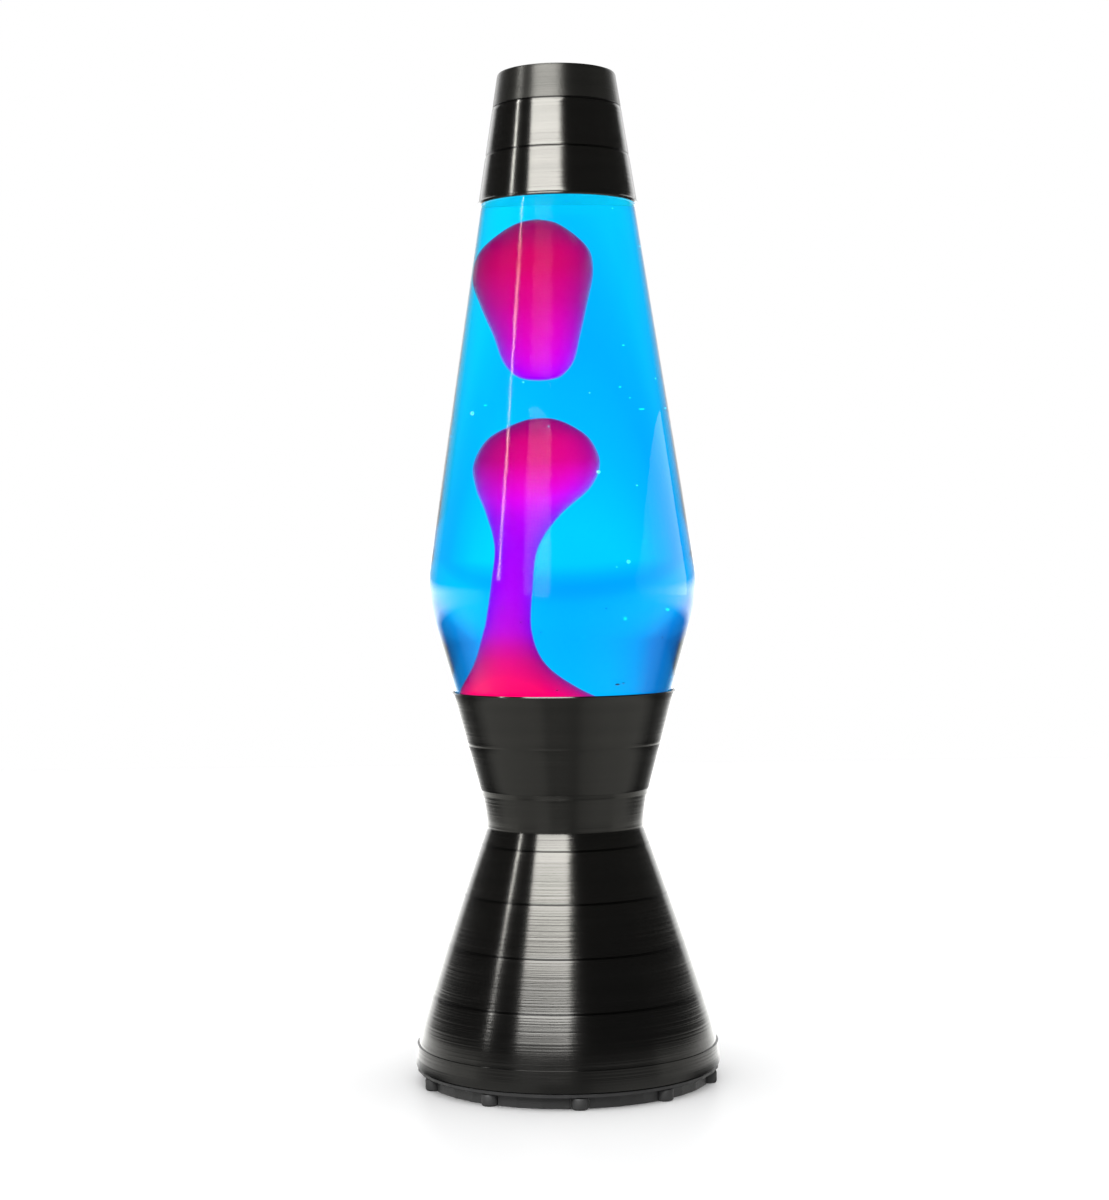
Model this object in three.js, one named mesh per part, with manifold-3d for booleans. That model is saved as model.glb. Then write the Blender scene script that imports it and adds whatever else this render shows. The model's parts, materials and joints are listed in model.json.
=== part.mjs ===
// A lava lamp: a spun aluminium hourglass base and tapered cap, a sealed glass bottle of coloured
// liquid and wax, and a 35 W reflector bulb that warms and lights the bottle from below.
// Millimetres, +Z up. The floor is Z = 0 and every large part turns about X = Y = 0.
// The front is -Y and the mains lead leaves at the back, through the base plate.

import * as THREE from 'three';
import { mergeVertices } from 'three/addons/utils/BufferGeometryUtils.js';
import Module from 'manifold-3d';

const wasm = await Module();
wasm.setup();

// ---------------------------------------------------------------- driving dimensions

const HEIGHT = 430;            // floor to the top of the cap
const GAP = 0.3;               // left between pieces that touch
const ROUND = 36;              // facets round a large turned part
const SMALL = 16;              // facets round a screw, foot or lead
const METAL = 1.0;             // spun aluminium wall, measured across the axis
const GLASS = 2.8;             // bottle wall, measured across the axis

const RIM = { z: 166.5, r: 48.1 };          // open top of the base, where the bottle rests
const STEP = { z: 123.5, r: 36.2 };         // small step in the funnel above the waist
const WAIST = { z: 108.7, r: 33.9 };        // narrowest place of the base
const BAND = { low: 7, high: 16.1, r: 65.3, draft: 0.7 };
const HEM = { r: 61.8, thick: 1.2 };        // turned-in edge that the base plate is clamped to

const BOTTLE = {
  bottom: 112, atRim: 46.75, lowerTaper: 0.303,
  capEdge: 374, atCapEdge: 32.75, upperTaper: 0.1556,
  bend: 50,                                 // radius of the bend between the two tapers
  shoulder: 384, neckR: 13.4, neckFoot: 397, mouth: 409, bore: 8.6,
};
const FILL = 382;                           // liquid level, hidden by the cap

const CAP = { low: 374, r: 34.0, topR: 25.2, bead: 0.3 };

const PLATE = { low: 5.1, high: 6.7, r: 64.8, skirtR: 61.4, skirtWall: 1.2, skirtLow: 0.2 };
const FOOT = { count: 10, ring: 61.2, stemRing: 59.2, r: 3.6, firstDeg: 4.3 };
const BRACKET = { low: 8.5, top: 25, thick: 1.2, width: 20, end: 63.6, topHalf: 24, legFoot: 34 };
const HOLDER = { low: BRACKET.top + GAP, high: 49.7, r: 16.5, floor: 37, roof: 46.2, pocketR: 8.2 };
const PIN = { pitch: 10, r: 1.1, headR: 2.4, low: 43, headHigh: 44.8 };
const BULB = { low: 50, r: 25, rimLow: 95.6, high: 98.5, twistDeg: 30 };
const BLOCK = { x: 30, y: 14, low: 7, high: 19, front: 24, pitch: 8, wireZ: 13 };
const CLAMP = { x: -6, y: 47.5, post: 5.8, low: 9.7, thick: 3.2 };
const OUTLET = { x: 13, y: 47, r: 4.6, bore: 3.3, notch: 9 };   // where the mains lead leaves
const EARTH = { x: -41, barrel: 9 };
const LEAD_R = 1.2;
const COIL = { ring: 20, r: 2.4, z: 118.8 };                    // heat coil lying in the wax

// ---------------------------------------------------------------- colours

const paint = (color, roughness, metalness, opacity = 1) => new THREE.MeshStandardMaterial({
  color, roughness, metalness, opacity, transparent: opacity < 1,
});

const anodised = paint(0x17181a, 0.28, 0.85);
const darkPlastic = paint(0x232323, 0.6, 0);
const feetRubber = paint(0x1a1a1a, 0.8, 0);
const zincSteel = paint(0xb8babc, 0.35, 0.9);
const ceramic = paint(0xe8e4da, 0.5, 0);
const brassPlate = paint(0xc9a55a, 0.35, 0.9);
const bulbGlass = paint(0xe6e6e0, 0.15, 0, 0.5);
const bulbMirror = paint(0xd8d8d4, 0.2, 0.6);
const blockPlastic = paint(0xeeeeee, 0.5, 0);
const bottleClear = paint(0xf2fbff, 0.05, 0, 0.25);
const cyanLiquid = paint(0x00beff, 0.1, 0, 0.45);
const pinkWax = paint(0xe6007a, 0.35, 0);
const crownTin = paint(0xc8a860, 0.4, 0.8);
const linerRubber = paint(0xd0cdc4, 0.8, 0);

// ---------------------------------------------------------------- solids

/** A turned solid from [radius, height] points, listed so that outer walls run upwards. */
function turned(points, facets = ROUND) {
  const outline = points.map(([r, z]) => new THREE.Vector2(r, z));
  const onAxis = points[0][0] === 0 && points[points.length - 1][0] === 0;
  if (!onAxis) outline.push(outline[0].clone());
  return new THREE.LatheGeometry(outline, facets).rotateX(Math.PI / 2);
}

/** A plain upright cylinder centred on (x, y). */
function cylinder(r, low, high, x = 0, y = 0, facets = SMALL) {
  return turned([[0, low], [r, low], [r, high], [0, high]], facets).translate(x, y, 0);
}

/** A box from its two corners. */
function box(x0, y0, z0, x1, y1, z1) {
  return new THREE.BoxGeometry(x1 - x0, y1 - y0, z1 - z0)
    .translate((x0 + x1) / 2, (y0 + y1) / 2, (z0 + z1) / 2);
}

/** An outline in X and Z, extruded along Y to the given width about Y = 0. */
function strap(points, width) {
  const shape = new THREE.Shape(points.map(([x, z]) => new THREE.Vector2(x, z)));
  return new THREE.ExtrudeGeometry(shape, { depth: width, bevelEnabled: false })
    .rotateX(Math.PI / 2).translate(0, width / 2, 0);
}

/** A round lead along a smooth curve through the points. */
function lead(points) {
  const ring = new THREE.Shape().absarc(0, 0, LEAD_R, 0, 2 * Math.PI);
  const path = new THREE.CatmullRomCurve3(points.map((p) => new THREE.Vector3(...p)));
  return new THREE.ExtrudeGeometry(ring, { steps: 16, curveSegments: 4, extrudePath: path });
}

/** A stack of level rings {x, r, z}, from the lowest to the highest, closed at both ends. */
function stacked(rings, facets = SMALL) {
  const corners = [];
  const faces = [];
  for (const { x, r, z } of rings) {
    for (let i = 0; i < facets; i += 1) {
      const turn = (2 * Math.PI * i) / facets;
      corners.push(x + r * Math.cos(turn), r * Math.sin(turn), z);
    }
  }
  const last = rings[rings.length - 1];
  corners.push(rings[0].x, 0, rings[0].z, last.x, 0, last.z);
  const bottom = rings.length * facets;
  const roof = bottom - facets;
  for (let i = 0; i < facets; i += 1) {
    const next = (i + 1) % facets;
    faces.push(bottom, next, i, bottom + 1, roof + i, roof + next);
    for (let level = 0; level < roof; level += facets) {
      const [a, b] = [level + i, level + next];
      faces.push(a, b, b + facets, a, b + facets, a + facets);
    }
  }
  const geometry = new THREE.BufferGeometry();
  geometry.setAttribute('position', new THREE.Float32BufferAttribute(corners, 3));
  geometry.setIndex(faces);
  return geometry;
}

/** The manifold-3d solid of a closed geometry. */
function toSolid(geometry) {
  const bare = geometry.clone();
  bare.deleteAttribute('normal');
  bare.deleteAttribute('uv');
  const merged = mergeVertices(bare);
  const index = merged.index.array;
  const kept = [];
  for (let i = 0; i < index.length; i += 3) {
    const [a, b, c] = [index[i], index[i + 1], index[i + 2]];
    if (a !== b && b !== c && c !== a) kept.push(a, b, c);
  }
  return new wasm.Manifold(new wasm.Mesh({
    numProp: 3,
    vertProperties: new Float32Array(merged.attributes.position.array),
    triVerts: new Uint32Array(kept),
  }));
}

/** The first geometry with the others joined on, the cuts taken away, and kept inside a bound. */
function built(first, joined, cuts, bound = null) {
  let solid = toSolid(first);
  for (const extra of joined) solid = solid.add(toSolid(extra));
  for (const cut of cuts) solid = solid.subtract(toSolid(cut));
  if (bound) solid = solid.intersect(toSolid(bound));
  const mesh = solid.getMesh();
  const geometry = new THREE.BufferGeometry();
  geometry.setAttribute('position', new THREE.Float32BufferAttribute(mesh.vertProperties, 3));
  geometry.setIndex(Array.from(mesh.triVerts));
  return geometry;
}

/** Points of a quadratic curve between two [r, z] ends, without the first end. */
function bow(from, control, to, steps) {
  const curve = new THREE.QuadraticBezierCurve(
    new THREE.Vector2(...from), new THREE.Vector2(...control), new THREE.Vector2(...to),
  );
  return curve.getPoints(steps).slice(1).map((p) => [p.x, p.y]);
}

const lamp = new THREE.Group();

function add(parent, name, geometry, material) {
  const mesh = new THREE.Mesh(geometry, material);
  mesh.name = name;
  parent.add(mesh);
  return mesh;
}

// ---------------------------------------------------------------- base shell

function baseShell() {
  const band = [[BAND.r - 0.4, BAND.low], [BAND.r, BAND.low + 0.5], [BAND.r - BAND.draft, BAND.high]];
  const coneFoot = [BAND.r - 1.4, BAND.high + 0.8];
  const coneKnee = [61.2, 28.8];
  const waist = [WAIST.r, WAIST.z];
  const coneBow = [(coneKnee[0] + waist[0]) / 2 + 1.1, (coneKnee[1] + waist[1]) / 2];
  const outer = [
    coneFoot,
    ...bow(coneFoot, [63.4, 22], coneKnee, 3),
    ...bow(coneKnee, coneBow, waist, 4),
    ...bow(waist, [WAIST.r, WAIST.z + 3.5], [STEP.r - 0.5, STEP.z - 1], 3),
    [STEP.r, STEP.z],
    [RIM.r - 0.35, RIM.z - 1.2],
  ];
  const lip = [[RIM.r, RIM.z - 0.7], [RIM.r - 0.3, RIM.z], [RIM.r - 0.8, RIM.z]];
  const inner = outer.map(([r, z]) => [r - METAL, z]).reverse();
  const hem = [
    [BAND.r - BAND.draft - METAL, BAND.high - 0.4],
    [BAND.r - 0.2 - METAL, BAND.low + HEM.thick], [HEM.r, BAND.low + HEM.thick],
  ];
  return turned([[HEM.r, BAND.low], ...band, ...outer, ...lip, ...inner, ...hem]);
}

add(lamp, 'base_shell', baseShell(), anodised);

// ---------------------------------------------------------------- base plate, feet

/** Angle from the front towards +X, as a place on a circle about the axis. */
function around(radius, degrees) {
  const turn = THREE.MathUtils.degToRad(degrees);
  return [radius * Math.sin(turn), -radius * Math.cos(turn)];
}

const footAngles = Array.from({ length: FOOT.count }, (_, i) => (
  FOOT.firstDeg + (i * 360) / FOOT.count
));

const PLATE_SCREW = { x: 54, hole: 2.3 };

function basePlate() {
  const { low, high, r, skirtR, skirtWall, skirtLow } = PLATE;
  const disc = turned([
    [0, low], [skirtR - skirtWall, low], [skirtR - skirtWall, skirtLow], [skirtR, skirtLow],
    [skirtR, low], [r - 0.3, low], [r, low + 0.3], [r, high - 0.2], [r - 0.2, high], [0, high],
  ]);
  const posts = [-1, 1].map((side) => (
    cylinder(2.4, low + 0.2, CLAMP.low - GAP, CLAMP.x, CLAMP.y + side * CLAMP.post)
  ));
  const cuts = [
    cylinder(OUTLET.r + GAP, 0, 20, OUTLET.x, OUTLET.y),
    box(OUTLET.x - OUTLET.notch / 2, 53, -1, OUTLET.x + OUTLET.notch / 2, 62, low),
    cylinder(1.7, 0, 20, BLOCK.pitch / 2, BLOCK.front + BLOCK.y / 2, 12),
  ];
  for (const degrees of footAngles) {
    const [x, y] = around(FOOT.ring, degrees);
    const [stemX, stemY] = around(FOOT.stemRing, degrees);
    cuts.push(cylinder(FOOT.r + GAP, -1, low, x, y, 12), cylinder(1.7, 0, 20, stemX, stemY, 8));
  }
  for (const side of [-1, 1]) {
    cuts.push(cylinder(PLATE_SCREW.hole, 0, 20, side * PLATE_SCREW.x, 0, 12));
  }
  const ventAngles = [0, 60, 120, 240, 300].map(THREE.MathUtils.degToRad);
  for (const turn of ventAngles) {
    cuts.push(box(-2.5, -40, 0, 2.5, -20, 20).rotateZ(turn));
  }
  return built(disc, posts, cuts);
}

add(lamp, 'base_plate', basePlate(), darkPlastic);

/** The front foot, with a barbed stem a little nearer the axis than its pad. */
function foot() {
  const underPlate = PLATE.low - GAP;
  const overPlate = PLATE.high + GAP;
  const pad = turned([
    [0, 0], [FOOT.r - 0.5, 0], [FOOT.r, 0.5], [FOOT.r, underPlate], [0, underPlate],
  ], 12);
  const stem = turned([
    [0, underPlate - 1], [1.4, underPlate - 1], [1.4, overPlate], [1.9, overPlate],
    [1.2, overPlate + 1.4], [0, overPlate + 1.4],
  ], 12);
  return built(
    pad.translate(0, -FOOT.ring, 0), [stem.translate(0, -FOOT.stemRing, 0)], [],
  );
}

footAngles.forEach((degrees, i) => {
  const name = `foot_${String(i + 1).padStart(2, '0')}`;
  const turn = THREE.MathUtils.degToRad(degrees);
  add(lamp, name, foot().rotateZ(turn), feetRubber);
});

// ---------------------------------------------------------------- screws

/** A screw with its head up; z is the underside of the head. */
function screw(headR, headHigh, shankR, shankLong) {
  return built(
    turned([[0, -shankLong], [shankR, -shankLong], [shankR, 0], [headR, 0],
      [headR, headHigh * 0.6], [headR * 0.7, headHigh], [0, headHigh]], 12),
    [],
    [box(-headR * 0.9, -0.35, headHigh * 0.5, headR * 0.9, 0.35, headHigh + 1)],
  );
}

for (const [name, side] of [['plate_screw_left', -1], ['plate_screw_right', 1]]) {
  const mesh = add(lamp, name, screw(3.6, 2.2, 1.9, 7), zincSteel);
  mesh.rotation.x = Math.PI;
  mesh.position.set(side * PLATE_SCREW.x, 0, PLATE.low - GAP);
}

// ---------------------------------------------------------------- lamp bracket and lampholder

const HOLDER_SCREW = { y: 12.2, seat: 45 };

function lampBracket() {
  const { low, top, thick, width, end, topHalf, legFoot } = BRACKET;
  const upper = [
    [-end, low + thick], [-legFoot, low + thick], [-topHalf, top], [topHalf, top],
    [legFoot, low + thick], [end, low + thick],
  ];
  const lower = [
    [end, low], [legFoot - 0.6, low], [topHalf - 0.6, top - thick],
    [-topHalf + 0.6, top - thick], [-legFoot + 0.6, low], [-end, low],
  ];
  const wings = box(-5, -15.5, top - thick, 5, 15.5, top);
  const cuts = [cylinder(9, top - 5, top + 5, 0, 0, 24), cylinder(1.9, 0, 20, EARTH.x, 0, 12)];
  for (const side of [-1, 1]) {
    cuts.push(
      cylinder(2.2, 0, 20, side * PLATE_SCREW.x, 0, 12),
      cylinder(1.8, top - 5, top + 5, 0, side * HOLDER_SCREW.y, 12),
    );
  }
  const body = strap([...upper, ...lower].reverse(), width);
  return built(body, [wings], cuts, cylinder(end, 0, 40, 0, 0, ROUND));
}

add(lamp, 'lamp_bracket', lampBracket(), zincSteel);

/** The curved key slot that one bulb pin turns in, from its locked place to its way out. */
function keySlot(side) {
  const steps = 4;
  const low = HOLDER.roof - 1;
  const high = HOLDER.high + 1;
  const cuts = [];
  for (let i = 0; i <= steps; i += 1) {
    const turn = THREE.MathUtils.degToRad((BULB.twistDeg * i) / steps);
    const x = (side * PIN.pitch * Math.cos(turn)) / 2;
    const y = (side * PIN.pitch * Math.sin(turn)) / 2;
    const r = i === steps ? PIN.headR + 0.5 : PIN.r + 0.5;
    cuts.push(cylinder(r, low, high, x, y, 12));
  }
  return cuts;
}

function lampholderBody() {
  const { low, high, r, floor, roof, pocketR } = HOLDER;
  const body = turned([
    [0, low], [r - 1, low], [r, low + 1], [r, high - 6], [r - 1.5, high], [0, high],
  ], 24);
  const cuts = [cylinder(pocketR, floor, roof, 0, 0, 24), ...keySlot(-1), ...keySlot(1)];
  for (const side of [-1, 1]) {
    cuts.push(
      cylinder(2, low - 1, floor + 1, (side * PIN.pitch) / 2, 0, 12),
      cylinder(1.8, low - 1, high + 1, 0, side * HOLDER_SCREW.y, 12),
      cylinder(3.1, HOLDER_SCREW.seat, high + 1, 0, side * HOLDER_SCREW.y, 16),
    );
  }
  return built(body, [], cuts);
}

add(lamp, 'lampholder_body', lampholderBody(), ceramic);

function contactStud() {
  const { low, floor } = HOLDER;
  const top = PIN.low - GAP;
  return turned([
    [0, low + 2], [1.1, low + 2], [1.1, floor + GAP], [2.6, floor + GAP], [2.6, top - 1],
    [2, top], [0, top],
  ], 12);
}

for (const [name, side] of [['contact_left', -1], ['contact_right', 1]]) {
  add(lamp, name, contactStud(), brassPlate).position.x = (side * PIN.pitch) / 2;
}
for (const [name, side] of [['lampholder_screw_front', -1], ['lampholder_screw_back', 1]]) {
  const mesh = add(lamp, name, screw(2.7, 1.9, 1.5, 24.5), zincSteel);
  mesh.position.set(0, side * HOLDER_SCREW.y, HOLDER_SCREW.seat + GAP);
}

// ---------------------------------------------------------------- bulb

const bulb = new THREE.Group();
lamp.add(bulb);

function bulbBase() {
  const { low } = BULB;
  const body = turned([
    [0, low], [8.6, low], [8.6, low + 5], [11.4, low + 8], [11.4, low + 12], [0, low + 12],
  ], 24);
  const holes = [-1, 1].map((side) => (
    cylinder(PIN.r + GAP, low - 1, low + 4, (side * PIN.pitch) / 2, 0, 12)
  ));
  return built(body, [], holes);
}

function bulbReflector() {
  const neck = BULB.low + 12 + GAP;
  const { r, rimLow, high } = BULB;
  return turned([
    [6.5, neck], [10.6, neck], ...bow([10.6, neck], [20.5, 71], [r - 1, rimLow - 3], 5),
    [r, rimLow - 1.5], [r, high], [r - 1.6, high], [r - 1.6, rimLow], [r - 2.6, rimLow],
    ...bow([r - 2.6, rimLow], [18.5, 73], [6.5, neck + 3], 5),
  ], 24);
}

function bulbPin() {
  const { r, headR, low, headHigh } = PIN;
  return turned([
    [0, low], [headR - 0.4, low], [headR, low + 0.4], [headR, headHigh], [r, headHigh],
    [r, BULB.low + 4 - GAP], [0, BULB.low + 4 - GAP],
  ], 12);
}

const lensR = BULB.r - 1.6 - GAP;
const lensLow = BULB.rimLow + GAP;
const capsuleLow = BULB.low + 12 + GAP;

add(bulb, 'bulb_base', bulbBase(), ceramic);
add(bulb, 'bulb_reflector', bulbReflector(), bulbMirror);
add(bulb, 'bulb_lens', turned([
  [0, lensLow], [lensR, lensLow], [lensR, BULB.high - 0.8], [lensR - 6, BULB.high + 0.2],
  [0, BULB.high + 0.8],
], 24), bulbGlass);
add(bulb, 'bulb_capsule', turned([
  [0, capsuleLow], [3.4, capsuleLow], [3.4, 67], [4.8, 69], [4.8, 80], [3, 83.5], [0, 85],
], 12), bulbGlass);
for (const [name, side] of [['bulb_pin_left', -1], ['bulb_pin_right', 1]]) {
  add(bulb, name, bulbPin(), zincSteel).position.x = (side * PIN.pitch) / 2;
}

// ---------------------------------------------------------------- wiring inside the base

const poles = [-1, 0, 1].map((step) => step * BLOCK.pitch);
const blockMiddle = BLOCK.front + BLOCK.y / 2;
const blockBack = BLOCK.front + BLOCK.y;

function terminalBlock() {
  const { x, y, low, high, front, wireZ } = BLOCK;
  const body = box(-x / 2, front, low, x / 2, front + y, high);
  const cuts = [cylinder(1.7, low - 1, high + 1, BLOCK.pitch / 2, blockMiddle, 12)];
  for (const pole of poles) {
    cuts.push(
      cylinder(1.8, -1, y + 1, 0, 0, 12).rotateX(-Math.PI / 2).translate(pole, front, wireZ),
      cylinder(2.0, wireZ, high + 1, pole, front + 4.5, 12),
    );
  }
  return built(body, [], cuts);
}

add(lamp, 'terminal_block', terminalBlock(), blockPlastic);
poles.forEach((pole, i) => {
  const mesh = add(lamp, `terminal_screw_${i + 1}`, screw(1.7, 1.2, 1.4, 2.2), brassPlate);
  mesh.position.set(pole, BLOCK.front + 4.5, BLOCK.high - 2);
});
add(lamp, 'block_screw', screw(2.1, 1.6, 1.4, 13.5), zincSteel)
  .position.set(BLOCK.pitch / 2, blockMiddle, BLOCK.high + GAP);

function cordClamp() {
  const { x, y, post, low, thick } = CLAMP;
  const bar = box(x - 4, y - post - 2.7, low, x + 4, y + post + 2.7, low + thick);
  const holes = [-1, 1].map((side) => cylinder(1.5, 0, 20, x, y + side * post, 12));
  return built(bar, [], holes);
}

add(lamp, 'cord_clamp', cordClamp(), darkPlastic);
for (const [name, side] of [['clamp_screw_front', -1], ['clamp_screw_back', 1]]) {
  const mesh = add(lamp, name, screw(2.3, 1.7, 1.2, CLAMP.thick), zincSteel);
  mesh.position.set(CLAMP.x, CLAMP.y + side * CLAMP.post, CLAMP.low + CLAMP.thick + GAP);
}

function cableGrommet() {
  const { r, bore } = OUTLET;
  const under = PLATE.low - GAP;
  const over = PLATE.high + GAP;
  return turned([
    [bore, under - 1.5], [r + 1.1, under - 1.5], [r + 1.5, under], [r, under], [r, over],
    [r + 1.5, over], [r + 0.9, over + 1.8], [bore, over + 1.8],
  ], 24);
}

add(lamp, 'cable_grommet', cableGrommet(), feetRubber).position.set(OUTLET.x, OUTLET.y, 0);

const bracketUpper = BRACKET.low + BRACKET.thick;
const tagLow = bracketUpper + GAP;
const tagHigh = tagLow + 0.8;

function earthTag() {
  const ring = cylinder(3.9, tagLow, tagHigh);
  const barrel = box(-1.4, 3.4, tagLow, 1.4, EARTH.barrel, tagHigh + 1.2);
  return built(ring, [barrel], [cylinder(2, 0, 20, 0, 0, 12)]).translate(EARTH.x, 0, 0);
}

add(lamp, 'earth_tag', earthTag(), brassPlate);
add(lamp, 'earth_screw', screw(3, 2, 1.6, 3.8), zincSteel)
  .position.set(EARTH.x, 0, tagHigh + GAP);

const leadEnd = BLOCK.front + 3;
const leadTop = HOLDER.low + 2 - GAP;
for (const [name, side, material] of [
  ['live_lead', 1, paint(0x6b3a1e, 0.5, 0)], ['neutral_lead', -1, paint(0x2f62b5, 0.5, 0)],
]) {
  const x = (side * PIN.pitch) / 2;
  const pole = side > 0 ? poles[2] : poles[1];
  add(lamp, name, lead([
    [x, 0, leadTop], [x, 0, 20], [x, 3, 15], [(x + pole) / 2, 12, 12.5],
    [pole, leadEnd - 6, BLOCK.wireZ], [pole, leadEnd, BLOCK.wireZ],
  ]), material);
}
const tagEnd = EARTH.barrel + GAP;
const tagMiddle = (tagLow + tagHigh + 1.2) / 2;
add(lamp, 'earth_lead', lead([
  [EARTH.x, tagEnd, tagMiddle], [EARTH.x + 1, tagEnd + 4, tagMiddle + 0.5], [-32, 19, 12.5],
  [-17, 18, BLOCK.wireZ], [poles[0], leadEnd - 5, BLOCK.wireZ], [poles[0], leadEnd, BLOCK.wireZ],
]), paint(0x5f9a3a, 0.5, 0));

// ---------------------------------------------------------------- bottle

const lowerWall = (z) => BOTTLE.atRim + BOTTLE.lowerTaper * (z - RIM.z);
const upperWall = (z) => BOTTLE.atCapEdge + BOTTLE.upperTaper * (BOTTLE.capEdge - z);

/** The bend between the bottle's two tapers, as [r, z] points of a true arc, moved in by inset. */
function bottleBend(inset, steps) {
  const low = Math.atan(BOTTLE.lowerTaper);
  const high = -Math.atan(BOTTLE.upperTaper);
  const meetZ = (upperWall(0) - lowerWall(0)) / (BOTTLE.lowerTaper + BOTTLE.upperTaper);
  const reach = BOTTLE.bend * Math.tan((low - high) / 2);
  const startZ = meetZ - reach * Math.cos(low);
  const centreR = lowerWall(startZ) - BOTTLE.bend * Math.cos(low);
  const centreZ = startZ + BOTTLE.bend * Math.sin(low);
  return Array.from({ length: steps + 1 }, (_, i) => {
    const turn = -low + ((low - high) * i) / steps;
    return [
      centreR + BOTTLE.bend * Math.cos(turn) - inset,
      centreZ + BOTTLE.bend * Math.sin(turn),
    ];
  });
}

function bottleGlass() {
  const { bottom, shoulder, neckR, neckFoot, mouth, bore } = BOTTLE;
  const outer = [
    [0, bottom + 1.6], [22, bottom + 1], [25.5, bottom], [28.4, bottom + 0.5],
    [lowerWall(bottom + 4), bottom + 4],
    ...bottleBend(0, 6),
    [upperWall(shoulder), shoulder],
    ...bow([upperWall(shoulder), shoulder], [29, shoulder + 8], [neckR, neckFoot], 4),
    [neckR, mouth - 1], [neckR - 0.6, mouth],
  ];
  const floor = bottom + GLASS + 0.4;
  const inner = [
    [bore + 0.4, mouth], [bore, mouth - 1], [bore, neckFoot + 1],
    ...bow([bore, neckFoot + 1], [26, shoulder + 5], [upperWall(FILL) - GLASS, FILL], 4),
    ...bottleBend(GLASS, 6).reverse(),
    [lowerWall(floor + 3) - GLASS, floor + 3], [25, floor], [0, floor + 0.8],
  ];
  return turned([...outer, ...inner]);
}

const bottle = new THREE.Group();
lamp.add(bottle);
add(bottle, 'bottle_glass', bottleGlass(), bottleClear);
add(bottle, 'crown_cap', turned([
  [0, 410.8], [13.2, 410.8], [13.9, 409.5], [14, 405.5], [15.6, 404.6], [15.9, 405],
  [14.7, 410.6], [13.6, 411.9], [0, 412],
], 24), crownTin);
add(bottle, 'crown_liner', cylinder(12.6, 409.3, 410.5, 0, 0, 24), linerRubber);

// ---------------------------------------------------------------- wax and liquid

/** Rings of a wax shape on a smooth curve through {x, r, z} keys, between two heights. */
function waxRings(keys, low, high, count, spare = 0) {
  const curve = new THREE.CatmullRomCurve3(keys.map(([x, r, z]) => new THREE.Vector3(x, r, z)));
  const fine = curve.getSpacedPoints(400);
  const at = (z) => {
    const i = Math.min(Math.max(fine.findIndex((p) => p.z >= z), 1), fine.length - 1);
    const share = THREE.MathUtils.clamp((z - fine[i - 1].z) / (fine[i].z - fine[i - 1].z), 0, 1);
    return fine[i - 1].clone().lerp(fine[i], share);
  };
  return Array.from({ length: count + 1 }, (_, i) => {
    // Cosine spacing draws the rings together near the two ends, where a shape closes quickly.
    const z = low + ((high - low) * (1 - Math.cos((Math.PI * i) / count))) / 2;
    const p = at(z);
    const r = Math.max(p.y, 1.2) + spare;
    return { x: p.x, r, z: z + spare * (2 * i / count - 1) };
  });
}

// Each key is [sideways offset of the centre, radius, height].
const blobKeys = [
  [-6.4, 0.5, 296.5], [-6.5, 7, 298.3], [-6.7, 11, 304], [-7.1, 13.8, 316], [-8, 16.8, 329],
  [-8.6, 19.3, 343], [-7.8, 17.2, 353], [-7.2, 9.5, 361.6], [-6.9, 0.5, 365.5],
];
const wallR = (z) => lowerWall(z) - GLASS - GAP;
const columnKeys = [
  [0, wallR(149), 149], [-1.5, 37, 152.5], [-7, 30, 161], [-14, 19.8, 171], [-17.2, 11.5, 182.5],
  [-17.6, 7.7, 197], [-16, 6.8, 211], [-14.3, 7.2, 226], [-11.9, 12, 239.5],
  [-8.8, 18.2, 251], [-7.8, 20, 261], [-7, 15, 273], [-6.2, 7.5, 278.4], [-6, 0.5, 280.4],
];
const POOL_FACETS = 24;
const moundRings = (spare) => waxRings(columnKeys, 149, 178.6, 7, spare);
const neckRings = (spare) => waxRings(columnKeys, 178.6 + GAP, 243 - GAP, 10, spare);
const headRings = (spare) => waxRings(columnKeys, 243, 280.4, 9, spare);
const blobRings = (spare) => waxRings(blobKeys, 296.5, 365.5, 12, spare);

function waxPool() {
  const floor = BOTTLE.bottom + GLASS + 0.8 + GAP;
  const foot = [
    { x: 0, r: 24.5, z: floor + 0.6 }, { x: 0, r: wallR(floor + 3.5) - 0.4, z: floor + 3.5 },
  ];
  const body = stacked([...foot, ...moundRings(0)], POOL_FACETS);
  const groove = turned([
    [COIL.ring - COIL.r - GAP, 110], [COIL.ring + COIL.r + GAP, 110],
    [COIL.ring + COIL.r + GAP, COIL.z + COIL.r + GAP],
    [COIL.ring - COIL.r - GAP, COIL.z + COIL.r + GAP],
  ], POOL_FACETS);
  return built(body, [], [groove]);
}

function heatingCoil() {
  const corners = 6;
  return turned(Array.from({ length: corners }, (_, i) => {
    const turn = (2 * Math.PI * (i + 0.5)) / corners;
    return [COIL.ring + COIL.r * Math.cos(turn), COIL.z + COIL.r * Math.sin(turn)];
  }), POOL_FACETS);
}

/** The liquid fills the bottle round the wax; a thin riser keeps the drop's hollow open. */
function liquid() {
  const start = 149.6;
  const shell = turned([
    [0, start], [wallR(start), start], ...bottleBend(GLASS + GAP, 6),
    [upperWall(FILL - 2) - GLASS - GAP, FILL - 2], [upperWall(FILL) - GLASS - 1.2, FILL],
    [0, FILL],
  ]);
  const hollows = [
    stacked(moundRings(GAP), POOL_FACETS), stacked(neckRings(GAP)), stacked(headRings(GAP)),
    stacked(blobRings(GAP)), cylinder(1.2, 360, FILL + 2, -7, 0, 8),
  ];
  return built(shell, [], hollows);
}

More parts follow.
